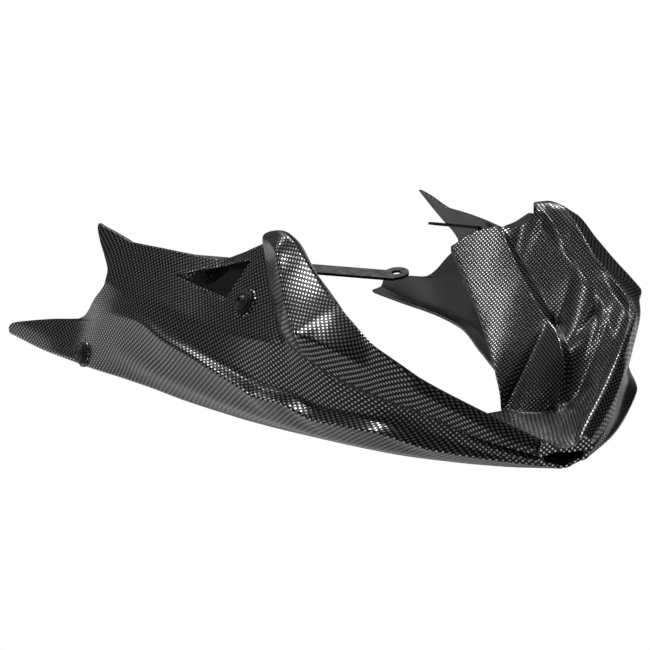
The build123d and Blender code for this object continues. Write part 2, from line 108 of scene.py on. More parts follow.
# Character lines of one half of the front cover, from its lapped edge to just past the centre plane
cover_lines = dict(
    step=[(14, 136, 196), (58, 141, 166), (63, 143, 163), (99, 157, 133), (137, 169, 109), (149, 172, 103),
          (161, 171, 96), (184, 163, 85), (206, 146, 71), (229, 127, 61), (251, 105, 52), (292, 62, 31),
          (313, 30, 20), (320, 18, 15)],
    ridge=[(14, 136, 201), (58, 141.5, 171), (105, 155, 169), (129, 163, 149), (146, 169, 134), (166, 175, 119),
           (176, 177, 112), (188, 167, 107), (210, 152, 98), (231, 131, 82), (242, 118, 74), (258, 103, 68),
           (279, 80, 54), (300, 49, 36), (320, 19, 21)],
    crest=[(14, 131, 206), (58, 136, 175), (88, 141, 180), (101, 141, 179), (165, 137.5, 140.5),
           (228, 133, 108), (243, 118, 93), (252, 106, 82), (278, 72, 60), (302, 38, 40), (320, 16, 26)],
    crown=[(14, 124, 206), (58, 129, 175), (88, 134, 179), (101, 134, 176), (142, 134, 150), (176, 133, 129),
           (211, 131, 108), (228, 126, 103), (243, 111, 90), (252, 99, 80), (278, 65, 58), (302, 31, 38),
           (320, 9, 26)],
    rib_foot=[(14, 119, 204), (58, 124, 171), (84, 126, 172), (92, 127, 172), (128, 127, 149), (164, 125, 125),
              (198, 123, 103), (207, 119, 98), (214, 116, 93), (228, 112, 82), (243, 99, 73), (252, 88, 65),
              (278, 55, 48), (302, 25, 33), (320, 7, 23)],
    pocket_out=[(14, 115, 200), (58, 120, 168), (84, 121, 162), (90, 122, 162), (97, 124, 159), (184, 121, 106),
                (188, 119, 97), (205, 112, 90), (212, 106, 76), (228, 96, 56), (243, 86, 49), (252, 76, 44),
                (278, 46, 36), (302, 20, 28), (320, 5.6, 22)],
    pocket_in=[(14, 111, 195), (39, 108, 173), (67, 105.5, 151), (81, 107, 137), (143, 103, 93), (152, 103, 83),
               (158, 101, 81), (182, 92, 75), (193, 88, 68), (206, 86, 46), (216, 84, 35), (237, 72, 34),
               (252, 61, 32), (278, 38, 29), (302, 16, 26), (320, 4.2, 22)],
    shoulder=[(14, 108, 190), (39, 104.5, 170), (66, 102, 150), (92, 99, 129), (114, 96, 113), (137, 94, 97),
              (151, 93, 89), (166, 91, 84), (180, 86, 78), (192, 81, 71), (199, 79, 62), (205, 78, 35),
              (212, 77, 26), (228, 68, 25), (252, 50, 25), (278, 30, 25.4), (302, 12, 25), (320, 2.8, 22)],
    foot=[(14, 68, 125), (20, 67, 120), (49, 63, 99), (82, 57, 74), (112, 49, 53), (138, 41, 34), (150, 38, 20),
          (155, 45, 13), (170, 50, 14), (188, 60, 16), (199, 68, 18), (212, 62, 19), (228, 54, 20), (252, 40, 21),
          (278, 22, 23), (302, 8, 24), (320, 1.4, 22)],
    centre=[(14, -4, 90), (82, -4, 46), (138, -4, 20), (150, -4, 14), (155, -4, 12), (200, -4, 14),
            (250, -4, 18), (300, -4, 23), (320, -4, 22)],
)
# Plan view of the rear of each ear: up its free inner edge, then along its top
ear_edge = [(152, 45), (138, 49), (112, 58), (82, 66), (49, 72), (21, 76), (39, 91), (63, 106), (78, 119),
            (84, 127), (60, 139)]

# Side outlines: top edge of a panel as x, z; tail as z, x
panel_top = [(-190, 144), (-162, 140.5), (-132, 135.5), (-85, 137.5), (-2, 139.5), (31, 152), (58, 164.5),
             (80, 164.5), (95, 190), (330, 190)]
tail_edge = [(-20, -300), (8, -304), (14, -314), (19, -318), (25, -317), (30, -311), (34, -296), (45, -246),
             (53, -203), (60, -188), (77, -168), (100, -144), (107, -146), (118, -160), (131, -178), (144, -190),
             (190, -190)]
# Plan view of an ear: its free inner edge as x, y, and its rear as y, x
ear_inner = [(x, y) for x, y in reversed(ear_edge[:6])] + [(mouth_depth, 45)]
ear_rear = [(0, 21)] + [(y, x) for x, y in ear_edge[5:]] + [(300, 58)]


def along(line, x):
    """Point (y, z) of a character line at x, on a curve that never overshoots its points."""
    xs = [p[0] for p in line]
    i = max(0, min(len(xs) - 2, sum(1 for v in xs if v <= x) - 1))
    h = xs[i + 1] - xs[i]
    t = (x - xs[i]) / h
    out = []
    for k in (1, 2):
        rise = [(b[k] - a[k]) / (b[0] - a[0]) for a, b in zip(line, line[1:])]

        def slope(j):
            if j == 0 or j == len(line) - 1:
                return rise[min(j, len(rise) - 1)]
            a, b = rise[j - 1], rise[j]
            return 0.0 if a * b <= 0 else 2 * a * b / (a + b)

        p, q, m, n = line[i][k], line[i + 1][k], slope(i) * h, slope(i + 1) * h
        out.append(p + m * t + (3 * (q - p) - 2 * m - n) * t ** 2 + (2 * (p - q) + m + n) * t ** 3)
    return tuple(out)


def inside(points_at, x, depth):
    """The row of points at x moved inwards by depth, measured square to the skin."""
    row, ahead, behind = points_at(x), points_at(x + 1), points_at(x - 1)
    sides = []
    for i in range(len(row) - 1):
        dy, dz = row[i + 1][0] - row[i][0], row[i + 1][1] - row[i][1]
        size = hypot(dy, dz)
        n = (-dz / size, dy / size)
        drift = sum(n[k] * (ahead[j][k] - behind[j][k]) / 2 for k in (0, 1) for j in (i, i + 1)) / 2
        sides.append((n, min(depth * sqrt(1 + drift ** 2), 2.2 * depth)))
    moved = []
    for i, p in enumerate(row):
        (a, da), (b, db) = sides[max(i - 1, 0)], sides[min(i, len(sides) - 1)]
        cross = a[0] * b[1] - a[1] * b[0]
        if abs(cross) < 0.15:
            d = (da + db) / 2
            m = (a[0] + b[0], a[1] + b[1])
            size = hypot(*m)
            step = (m[0] / size * d, m[1] / size * d)
        else:
            step = ((da * b[1] - db * a[1]) / cross, (db * a[0] - da * b[0]) / cross)
        moved.append((p[0] + step[0], p[1] + step[1]))
    # A ridge narrower than the skin keeps a short flat on its inside
    for i in range(len(row) - 1):
        along_row = (row[i + 1][0] - row[i][0], row[i + 1][1] - row[i][1])
        turned = (moved[i + 1][0] - moved[i][0]) * along_row[0] + (moved[i + 1][1] - moved[i][1]) * along_row[1]
        if turned < 0.05 * hypot(*along_row) ** 2:
            middle = [(moved[i][k] + moved[i + 1][k]) / 2 for k in (0, 1)]
            moved[i] = tuple(middle[k] - 0.1 * along_row[k] for k in (0, 1))
            moved[i + 1] = tuple(middle[k] + 0.1 * along_row[k] for k in (0, 1))
    return moved


def cover_row(x):
    return [along(line, min(x, nose_x)) for line in cover_lines.values()]


def lapped_row(x):
    """The last two points of a panel's row where it runs under the cover. The lap is lower where the cover's first
    side is short, and towards the nose."""
    first, second = inside(cover_row, x, wall + lap_gap)[:2]
    run = hypot(second[0] - first[0], second[1] - first[1])
    k = min(lap_height / run, 0.6, (1 + 0.5 * max(0, nose_x - x)) / run)
    return [first, (first[0] + k * (second[0] - first[0]), first[1] + k * (second[1] - first[1]))]


def panel_row(x):
    row = [along(line, x) for line in panel_lines.values()]
    free = [along(line, min(x, band_end)) for line in (band_edge, band_top)]
    if x <= band_end:
        return row + free
    lapped = lapped_row(max(x, lap_start))
    t = min(1, (x - band_end) / (lap_start - band_end))
    t = t * t * (3 - 2 * t)
    return row + [tuple(a * (1 - t) + b * t for a, b in zip(p, q)) for p, q in zip(free, lapped)]


def smooth(points, at):
    """Curve through (key, value) points that never overshoots them."""
    return along([(k, v, v) for k, v in points], at)[0]


def crossing(row, i, axis, value):
    """Where side i of a row crosses a value of y (axis 0) or z (axis 1)."""
    a, b = row[i], row[i + 1]
    t = (value - a[axis]) / (b[axis] - a[axis])
    return tuple(a[k] + t * (b[k] - a[k]) for k in (0, 1))


def trim_panel(row, x):
    """The row cut off at the top outline and at the slot of the keel."""
    row = list(row)
    if row[0][0] < keel_gap:
        row[0] = crossing(row, 0, 0, keel_gap)
    limit = np.interp(x, *zip(*panel_top))
    # Where the outline comes down to the band's edge, or below it, the band is cut to a sliver that ends there
    if row[6][1] > limit - 1.5:
        top = crossing(row, 5, 1, limit)
        row[6] = tuple(row[5][k] + 0.96 * (top[k] - row[5][k]) for k in (0, 1))
        row[7] = top
    elif row[7][1] > limit:
        row[7] = crossing(row, 6, 1, limit)
    return row


def trim_cover(row, x):
    """The row cut off at the free edge of the ear, or else at the centre plane."""
    row = list(row)
    if x < mouth_depth:
        end = crossing(row, 7, 0, np.interp(x, *zip(*ear_inner)))
        run = hypot(end[0] - row[7][0], end[1] - row[7][1])
        step = [(end[k] - row[7][k]) / run for k in (0, 1)]
        # The last side only carries the rounding at the foot: its faces are left out
        row[8] = tuple(end[k] + foot_round * step[k] for k in (0, 1))
        row[9] = tuple(row[8][k] + 20 * step[k] for k in (0, 1))
    else:
        row[9] = crossing(row, 8, 0, 0)
    return row


def fine_rows(rows, radii, gaps, crowd=1):
    """Rows with rounded corners, and gaps between the points of each side. A rounding takes up at most 0.42 of the
    shorter side beside it."""
    rows = np.array(rows, float)
    last = rows.shape[1] - 1
    starts, ends, out = {}, {}, []
    for i in range(1, last):
        a, b = rows[:, i - 1] - rows[:, i], rows[:, i + 1] - rows[:, i]
        la, lb = np.linalg.norm(a, axis=-1), np.linalg.norm(b, axis=-1)
        d = np.minimum(radii[i - 1], np.minimum(0.42 * la, 0.42 * lb))[:, None]
        starts[i], ends[i] = rows[:, i] + a / la[:, None] * d, rows[:, i] + b / lb[:, None] * d
    for i in range(last):
        p = rows[:, 0] if i == 0 else ends[i]
        q = rows[:, last] if i == last - 1 else starts[i + 1]
        power = crowd if i == 0 else 1
        out += [p + (q - p) * (s / gaps[i]) ** power for s in range(gaps[i] + (i == last - 1))]
        if i < last - 1:
            for s in range(ROUND):
                t = s / ROUND
                out.append((1 - t) ** 2 * starts[i + 1] + 2 * t * (1 - t) * rows[:, i + 1] + t * t * ends[i + 1])
    return np.stack(out, 1)


def starts_of(xs, rows, axis, outline, clear):
    """X where each fine row begins: where it last comes in over the outline."""
    keys, limits = zip(*outline)
    out = []
    for j in range(rows.shape[1]):
        over = xs - np.interp(rows[:, j, axis], keys, limits)
        k = np.nonzero((over < 0) & (xs < clear))[0]
        if not len(k):
            out.append(xs[0])
            continue
        k = k[-1]
        out.append(xs[k] + (xs[k + 1] - xs[k]) * -over[k] / (over[k + 1] - over[k]))
    return np.array(out)


def shares(rear_columns):
    """Places of a grid's columns: 0 at the start of each row, 1 at the mouth and 2 at the nose."""
    return np.concatenate([np.linspace(0, 1, rear_columns), np.linspace(1, 2, nose_columns)[1:]])


def sheet(xs, rows, starts, columns):
    """Grid of points: each fine row from its own start to the nose, at the shares in columns."""
    grid = np.zeros((len(columns), rows.shape[1], 1 + rows.shape[2]))
    for j, start in enumerate(starts):
        x = np.where(columns <= 1, start + (mouth_depth - start) * columns,
                     mouth_depth + (xs[-1] - mouth_depth) * (columns - 1))
        grid[:, j, 0] = x
        for c in range(rows.shape[2]):
            grid[:, j, c + 1] = np.interp(x, xs, rows[:, j, c])
    return grid


def with_lengths(rows, anchor, travel, xs=None, flat_from=None):
    """The fine rows with the pattern's coordinates added: the length across the row from the anchor, and travel.
    Rows from flat_from on have them laid flat over the ear instead."""
    run = np.cumsum(np.linalg.norm(np.diff(rows, axis=1), axis=-1), axis=1)
    run = np.pad(run, [(0, 0), (1, 0)])
    across = run - run[:, anchor:anchor + 1]
    ahead = np.repeat(travel[:, None], rows.shape[1], 1)
    if flat_from:
        spots = (xs[:, None], *np.moveaxis(rows[:, flat_from:], -1, 0))
        ahead[:, flat_from:] = travel_share * sum(k * c for k, c in zip(ear_travel, spots))
        across[:, flat_from:] = across_share * sum(k * c for k, c in zip(ear_across, spots))
    return np.concatenate([rows, across[..., None], ahead[..., None]], -1)


def length_at(line):
    """Length along a character line as a function of x: the pattern's own first coordinate."""
    xs = np.arange(line[0][0], line[-1][0] + 1, 5.0)
    points = np.array([(x, *along(line, x)) for x in xs])
    run = np.concatenate([[0], np.cumsum(np.linalg.norm(np.diff(points, axis=0), axis=-1))])
    return lambda x: np.interp(x, xs, run)


def skin_object(name, outer, inner, keep, bare_edges=()):
    """A closed skin from its outer and inner grids, with rounded rims and lengths along it as its UV map."""
    columns, count = outer.shape[:2]
    v, u = outer[..., 3], outer[..., 4]
    outer, inner = outer[..., :3], inner[..., :3]
    bm = bmesh.new()
    layer = bm.loops.layers.uv.new("lengths")
    size = columns * count
    verts = [bm.verts.new(Vector(p) * MM) for p in np.concatenate([outer.reshape(-1, 3), inner.reshape(-1, 3)])]
    u, v = u.ravel(), v.ravel()

    def face(corners, index):
        f = bm.faces.new([verts[c] for c in corners])
        f.material_index = index
        for loop, c in zip(f.loops, corners):
            loop[layer].uv = (u[c % size] * MM, v[c % size] * MM)

    border = {}
    for i in range(columns - 1):
        for j in range(count - 1):
            if not keep[i, j]:
                continue
            a, b, c, d = i * count + j, (i + 1) * count + j, (i + 1) * count + j + 1, i * count + j + 1
            face((a, b, c, d), PLAIN if j in bare_edges else FILM)
            face((d + size, c + size, b + size, a + size), PLAIN)
            for s, t in ((a, b), (b, c), (c, d), (d, a)):
                if (t, s) in border:
                    del border[(t, s)]
                else:
                    border[(s, t)] = True
    for s, t in border:
        face((t, s, s + size, t + size), PLAIN)
    edges = []
    for s, t in border:
        for shift in (0, size):
            edges.append(bm.edges.get((verts[s + shift], verts[t + shift])))
    bmesh.ops.delete(bm, geom=[w for w in bm.verts if not w.link_faces], context="VERTS")
    bm.faces.ensure_lookup_table()
    bm.faces[0].normal_update()
    i, j = np.argwhere(keep)[0]
    if bm.faces[0].normal.dot(Vector(outer[i, j] - inner[i, j])) < 0:
        bmesh.ops.reverse_faces(bm, faces=bm.faces)
    bmesh.ops.bevel(bm, geom=edges, offset=rim_round * MM, offset_type="OFFSET", segments=2, profile=0.5,
                    affect="EDGES", clamp_overlap=False)
    mesh = bpy.data.meshes.new(name)
    for m in (film, plain, painted_shade_film):
        mesh.materials.append(m)
    bm.to_mesh(mesh)
    bm.free()
    obj = bpy.data.objects.new(name, mesh)
    scene.collection.objects.link(obj)
    return obj


def frame_at(origin, x_dir, z_dir):
    """Matrix of a plane: its columns are x, y, the normal and the origin, in millimetres."""
    z = Vector(z_dir).normalized()
    x = Vector(x_dir)
    x = (x - x.dot(z) * z).normalized()
    m = Matrix((x, z.cross(x), z)).transposed().to_4x4()
    m.translation = Vector(origin)
    return m


def skin_plane(points_at, x, i, k):
    """Plane on the skin at x, a share k along side i of its row, facing outwards."""
    spots = []
    for station in (x, x + 1):
        a, b = points_at(station)[i:i + 2]
        spots.append(Vector((station, a[0] + k * (b[0] - a[0]), a[1] + k * (b[1] - a[1]))))
    a, b = points_at(x)[i:i + 2]
    lengthwise = spots[1] - spots[0]
    return frame_at(spots[0], lengthwise, Vector((0, b[0] - a[0], b[1] - a[1])).cross(lengthwise))


def panel_plane(x, z):
    row = panel_row(x)
    i = next(n for n in range(1, len(row) - 1) if row[n][1] <= z <= row[n + 1][1])
    return skin_plane(panel_row, x, i, (z - row[i][1]) / (row[i + 1][1] - row[i][1]))


def lap_plane(x):
    a, b = cover_row(x)[:2]
    return skin_plane(cover_row, x, 0, lap_screw_rise / hypot(b[0] - a[0], b[1] - a[1]))


def strap_bar(x, eye, twist):
    """Plane of a bracket's flat bar."""
    plane = panel_plane(x, strap_z - strap_drop)
    z, y = plane.col[2].to_3d(), plane.col[1].to_3d()
    tab = plane.translation - z * (wall + strap_boss_rise + strap_t / 2)
    root = tab - y * ((strap_z - tab.z) / -y.z)
    reach = Vector((*eye, strap_z)) - root
    across = Vector((0, 0, 1)).cross(reach).normalized()
    up = Vector((0, 0, math.cos(math.radians(twist)))) + across * math.sin(math.radians(twist))
    return frame_at(root, reach, up), reach.length


class Tool:
    """Closed shapes that are set into a skin, or cut out of it together."""

    def __init__(self):
        self.bm = bmesh.new()

    def disc(self, plane, low, high, diameter):
        m = plane @ Matrix.Translation((0, 0, (low + high) / 2))
        bmesh.ops.create_cone(self.bm, cap_ends=True, segments=TURNS, radius1=diameter / 2, radius2=diameter / 2,
                              depth=high - low, matrix=m)

    def ring(self, plane, low, high, outer_d, inner_d, edge=0.4):
        """A collar about a plane's normal, its outer edges eased."""
        a, b = inner_d / 2, outer_d / 2
        profile = [(a, low), (b - edge, low), (b, low + edge), (b, high - edge), (b - edge, high), (a, high)]
        loops = [[self.bm.verts.new(plane @ Vector((r * math.cos(2 * math.pi * t / TURNS),
                                                    r * math.sin(2 * math.pi * t / TURNS), h)))
                  for r, h in profile] for t in range(TURNS)]
        for t in range(TURNS):
            for k in range(len(profile)):
                self.bm.faces.new((loops[t - 1][k - 1], loops[t][k - 1], loops[t][k], loops[t - 1][k]))

    def hull(self, points):
        vs = [self.bm.verts.new(p) for p in points]
        bmesh.ops.convex_hull(self.bm, input=vs)

    def slab(self, outline, shift):
        """A flat plate: an outline and its copy moved by shift."""
        ends = [[self.bm.verts.new(Vector(p) + Vector(move)) for p in outline] for move in ((0, 0, 0), shift)]
        for vs in ends:
            self.bm.faces.new(vs)
        for i, (a, b) in enumerate(zip(*ends)):
            self.bm.faces.new((ends[0][i - 1], a, b, ends[1][i - 1]))

    def soften(self, size):
        """Rounds the edges that turn by more than 46 degrees."""
        edges = [e for e in self.bm.edges if len(e.link_faces) == 2 and e.calc_face_angle(0) > 0.8]
        bmesh.ops.bevel(self.bm, geom=edges, offset=size, offset_type="OFFSET", segments=2, profile=0.5,
                        affect="EDGES", clamp_overlap=True)

    def mesh(self, mirrored, finish):
        """The shapes as a mesh in metres, every face in slot finish. The tool is used up."""
        m = Matrix.Scale(MM, 4) @ (Matrix.Scale(-1, 4, (0, 1, 0)) if mirrored else Matrix.Identity(4))
        bmesh.ops.transform(self.bm, matrix=m, verts=self.bm.verts)
        bmesh.ops.recalc_face_normals(self.bm, faces=self.bm.faces)
        made = bpy.data.meshes.new("tool")
        for f in self.bm.faces:
            f.material_index = finish
        self.bm.to_mesh(made)
        self.bm.free()
        return made

    def cut(self, obj, mirrored):
        """Cuts the shapes out of an object."""
        other = bpy.data.objects.new("tool", self.mesh(mirrored, PAINTED_SHADE))
        scene.collection.objects.link(other)
        mod = obj.modifiers.new("tool", "BOOLEAN")
        mod.object, mod.operation, mod.solver = other, "DIFFERENCE", "EXACT"
        made = bpy.data.meshes.new_from_object(obj.evaluated_get(bpy.context.evaluated_depsgraph_get()))
        obj.modifiers.clear()
        old, obj.data = obj.data, made
        name = old.name
        bpy.data.meshes.remove(old)
        made.name = name
        bpy.data.objects.remove(other)

    def join(self, obj, mirrored, finish=PAINTED_SHADE):
        """Sets the shapes into an object's skin, which they stand in."""
        made = self.mesh(mirrored, finish)
        bm = bmesh.new()
        bm.from_mesh(obj.data)
        bm.from_mesh(made)
        bm.to_mesh(obj.data)
        bm.free()
        bpy.data.meshes.remove(made)


def finish_skin(obj, node, length):
    """Sorts the tools' faces into slots, sets the shading and hands the skin over in place of its CAD piece."""
    mesh = obj.data
    uv = mesh.uv_layers["lengths"].data

    def lay(face, place):
        """Gives each corner of a face the pattern's coordinates that place makes of its point."""
        for k in face.loop_indices:
            uv[k].uv = place(mesh.vertices[mesh.loops[k].vertex_index].co)

    for f in mesh.polygons:
        # A tool's face is film where it faces outwards, film with painted shade at the vent, and plain where it
        # faces inwards
        if f.material_index == PAINTED_SHADE:
            away = f.normal.y * (1 if f.center.y > 0 else -1)
            outward = PAINTED_SHADE if painted_shade_x[0] < f.center.x < painted_shade_x[1] else FILM
            f.material_index = outward if away > inward else PLAIN
            lay(f, lambda co: (float(length(co.x / MM)) * MM, co.z))
        # Every face across the front of the nose is film, laid flat
        if abs(f.normal.x) > endwise and f.center.x > (nose_x - wall) * MM:
            f.material_index = FILM
            lay(f, lambda co: (co.y, co.z))
    mesh.shade_smooth()
    mesh.set_sharp_from_angle(angle=math.radians(38))
    mod = obj.modifiers.new("normals", "WEIGHTED_NORMAL")
    mod.keep_sharp = True
    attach(obj, "root")
    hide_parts(node)


def gill_block(margin, outer, rear_depth, front_depth):
    """The eight corners of the tapering vent, margin longer at both ends and standing out by outer."""
    normal = panel_plane(20, 128).col[2].to_3d()
    out = []
    for low, high, depth in (((-43, 121), (3, 135), rear_depth), ((43, 116), (50, 148), front_depth)):
        a, b = panel_plane(*low).translation, panel_plane(*high).translation
        plane = frame_at(a, b - a, (b - a).cross(normal))
        length = (b - a).length
        for x, y in ((-margin, -depth), (length + margin, -depth), (length + margin, outer), (-margin, outer)):
            out.append(plane @ Vector((x, y, 0)))
    return out


lap_back = wall + lap_gap + wall - 0.1      # depth of the panel's back below the cover's outer face
strap_back = wall + strap_boss_rise
seat_bore = grommet_neck + 2 * fit_gap
lap_bore, strap_bore = lap_screw_d + bore_ease, strap_screw_d + bore_ease
lap_planes = [lap_plane(x) for x in lap_screw_x]
tail_edge_fine = [(z, smooth(tail_edge, z)) for z in np.linspace(-20, 190, 211)]
gill_pocket = gill_block(0, gill_depth, 0.2, gill_depth)
gill_tray = gill_block(wall, -wall / 2, wall, gill_depth + wall)


def side_panel(side, rear_fix, strap):
    mirrored = side == "right"
    xs = np.append(np.arange(-330, nose_x - 0.6, STEP), nose_x - 0.5)
    radii, gaps = (5, 8, 3, 4, 3, 3), (3, 6, 8, 5, 6, 10, 4)
    length = length_at(panel_lines["swage"])
    grids = []
    for rows in ([panel_row(x) for x in xs], [inside(panel_row, x, wall) for x in xs]):
        fine = fine_rows([trim_panel(row, x) for row, x in zip(rows, xs)], radii, gaps)
        fine = with_lengths(fine, panel_zero_row, length(xs))
        starts = starts_of(xs, fine, 1, tail_edge_fine, -100)
        grids.append(sheet(xs, fine, starts, shares(panel_columns)))
    for g in grids:
        # The solid's tail tip stands 1 mm further in than its lines
        g[..., 1] -= tail_inset * np.clip((tail_from - g[..., 0]) / tail_run, 0, 1)
        if mirrored:
            g[..., 1] *= -1
    obj = skin_object(side + "_panel_skin", *grids, np.ones(grids[0].shape[:2], bool))
    seats = [panel_plane(*fix) for fix in (front_fix, rear_fix)]
    strap_spot = panel_plane(strap["x"], strap_z - strap_drop)
    holes = Tool()
    holes.hull(gill_pocket)
    for plane in seats:
        holes.disc(plane, -4 * wall, 4 * wall, seat_bore)
    for plane in lap_planes:
        holes.disc(plane, -lap_back - 1, 0, lap_boss_d + 2 * fit_gap)
    holes.disc(strap_spot, -strap_back - 1, -boss_skin, strap_bore)
    holes.cut(obj, mirrored)
    flats = Tool()
    for plane in seats:
        flats.disc(plane, seat_proud, seat_proud + 8, seat_d)
        flats.disc(plane, -wall - seat_proud - 8, -wall - seat_proud, seat_d)
    for plane in lap_planes:
        flats.disc(plane, -lap_back - 6, -lap_back, lap_washer_d + 1)
    flats.cut(obj, mirrored)
    # The tray of the vent, the seats and the bracket's boss
    tray, core = Tool(), Tool()
    tray.hull(gill_tray)
    core.hull(gill_pocket)
    block = bpy.data.objects.new("block", tray.mesh(False, PAINTED_SHADE))
    scene.collection.objects.link(block)
    core.cut(block, False)
    tray = Tool()
    tray.bm.from_mesh(block.data)
    bmesh.ops.scale(tray.bm, vec=(1 / MM, 1 / MM, 1 / MM), verts=tray.bm.verts)
    bpy.data.objects.remove(block)
    for plane in seats:
        tray.ring(plane, -wall - seat_proud, seat_proud, seat_d, seat_bore)
    tray.join(obj, mirrored)
    boss = Tool()
    boss.ring(strap_spot, -strap_back, -boss_skin, strap_boss_d, strap_bore)
    boss.join(obj, mirrored, finish=PLAIN)
    finish_skin(obj, side + "_side_panel", length)


def front_cover():
    xs = np.append(np.arange(20, nose_x + 2.5, STEP), nose_x + wall)
    radii, gaps = (3, 2.6, 2.6, 2, 2, 2.2, 1.6, foot_round), (4, 6, 2, 4, 3, 6, 2, 14, 8)
    length = length_at(cover_lines["ridge"])
    columns = shares(cover_columns)
    # One half from the lapped edge to the centre plane, then its mirror image back to the other lapped edge
    whole = []
    for rows in ([cover_row(x) for x in xs], [inside(cover_row, x, wall) for x in xs]):
        fine = fine_rows([trim_cover(row, x) for row, x in zip(rows, xs)], radii, gaps, edge_crowd)
        fine = with_lengths(fine, cover_zero_row, length(xs), xs, ear_first_row)
        starts = starts_of(xs, fine, 0, ear_rear, 100)
        foot = fine.shape[1] - 1 - gaps[-1] - ROUND
        starts[foot + 1:] = mouth_depth - 1
        grid = sheet(xs, fine, starts, columns)
        other = grid[:, -2::-1].copy()
        other[..., 1] *= -1
        whole.append(np.concatenate([grid, other], 1))
    # The floor between the feet of the ears begins at the mouth
    count = whole[0].shape[1]
    keep = np.ones((len(columns), count), bool)
    keep[:int(np.searchsorted(columns, 1)), foot:count - 1 - foot] = False
    obj = skin_object("cover_skin", *whole, keep, (0, count - 2))
    for mirrored in (False, True):
        holes = Tool()
        for plane in lap_planes:
            holes.disc(plane, -lap_back - wall, -boss_skin, lap_bore)
        # The corner of the right ear that the bracket passes
        if mirrored:
            bar, bar_length = strap_bar(**right_strap)
            beside = strap_w / 2 + strap_clear
            holes.hull([bar @ Vector((x, lug_shift + y, z)) for x in (-bar_length / 2, bar_length * 1.5)
                        for y in (-beside, beside) for z in (-strap_w, strap_w)])
        holes.cut(obj, mirrored)
    for mirrored in (False, True):
        boss = Tool()
        for plane in lap_planes:
            boss.ring(plane, -lap_back + 0.2, -boss_skin, lap_boss_d, lap_bore)
        boss.join(obj, mirrored, finish=PLAIN)
    # The plate that closes the nose, a little smaller than the section there, and the rolled rear lip of the floor
    row = trim_cover(cover_row(nose_x), nose_x)
    half = row + [(0, row[-1][1] - lip_drop)]
    outline = half + [(-y, z) for y, z in reversed(half[:-2])]
    middle_z = sum(z for _, z in outline) / len(outline)
    plates = Tool()
    plates.slab([(nose_x, y * 0.985, middle_z + 0.985 * (z - middle_z)) for y, z in outline], (wall - 0.1, 0, 0))
    floor_z = along(cover_lines["centre"], mouth_depth)[1]
    low, high, reach = floor_z - lip_drop, floor_z - 0.5, mouth_half + 8
    plates.slab([(mouth_depth, -reach, low), (mouth_depth, reach, low), (mouth_depth, reach, high),
                 (mouth_depth, -reach, high)], (wall, 0, 0))
    plates.soften(lip_round)
    plates.join(obj, False)
    finish_skin(obj, "front_cover", length)


# Materials
def material(name, colour=(0.02, 0.02, 0.022), roughness=0.4, metallic=0.0, specular=0.5):
    m = bpy.data.materials.new(name)
    m.use_nodes = True
    shader = m.node_tree.nodes["Principled BSDF"]
    shader.inputs["Base Color"].default_value = (*colour, 1)
    shader.inputs["Roughness"].default_value = roughness
    shader.inputs["Metallic"].default_value = metallic
    shader.inputs["Specular IOR Level"].default_value = specular
    return m, m.node_tree, shader


class Wire:
    """Short names for nodes of one tree."""

    def __init__(self, tree):
        self.tree = tree

    def math(self, kind, a, b=0.0):
        n = self.tree.nodes.new("ShaderNodeMath")
        n.operation = kind
        for socket, value in zip(n.inputs, (a, b)):
            if isinstance(value, (int, float)):
                socket.default_value = value
            else:
                self.tree.links.new(value, socket)
        return n.outputs[0]

    def span(self, value, low, high, first, second, smooth=True):
        """Value mapped from low..high to first..second."""
        n = self.tree.nodes.new("ShaderNodeMapRange")
        n.interpolation_type = "SMOOTHSTEP" if smooth else "LINEAR"
        self.tree.links.new(value, n.inputs[0])
        for k, v in zip((1, 2, 3, 4), (low, high, first, second)):
            n.inputs[k].default_value = v
        return n.outputs[0]

    def blend(self, share, first, second):
        """Colour between first and second; each is a colour or a socket."""
        n = self.tree.nodes.new("ShaderNodeMix")
        n.data_type = "RGBA"
        self.tree.links.new(share, n.inputs["Factor"])
        for socket, value in ((n.inputs["A"], first), (n.inputs["B"], second)):
            if isinstance(value, tuple):
                socket.default_value = (*value, 1)
            else:
                self.tree.links.new(value, socket)
        return n.outputs["Result"]

    def noise(self, scale, detail=3.0):
        n = self.tree.nodes.new("ShaderNodeTexNoise")
        c = self.tree.nodes.new("ShaderNodeTexCoord")
        self.tree.links.new(c.outputs["Object"], n.inputs["Vector"])
        n.inputs["Scale"].default_value = scale
        n.inputs["Detail"].default_value = detail
        return n.outputs[0]

    def bump(self, shader, height, strength, distance):
        n = self.tree.nodes.new("ShaderNodeBump")
        n.inputs["Strength"].default_value = strength
        n.inputs["Distance"].default_value = distance
        self.tree.links.new(height, n.inputs["Height"])
        self.tree.links.new(n.outputs[0], shader.inputs["Normal"])


# The film's dots: their pitch along and across in metres, and the range over which the sum of two waves makes them
DOT_LONG, DOT_HIGH = 0.0056, 0.0022
DOT_WAVE = (0.1, 2.0)
# The bare tops of the ears: above a slope, ahead of BARE_X and further out than BARE_Y, in metres
CAP_SLOPE, CAP_FROM = 0.42, 0.1355
BARE_X, BARE_Y = (0.053, 0.054), (0.1345, 0.1355)
# Painted highlight and painted shade: pointiness of the folds that get the painted highlight and of the grooves
# that get the painted shade, how open the surroundings must be to escape the painted shade, and the reach in
# metres within which that openness is measured
PAINTED_HIGHLIGHT_FOLDS, PAINTED_SHADE_GROOVES, PAINTED_SHADE_OPENNESS, PAINTED_SHADE_REACH = (0.508, 0.535), (0.475, 0.494), (0.5, 0.9), 0.01


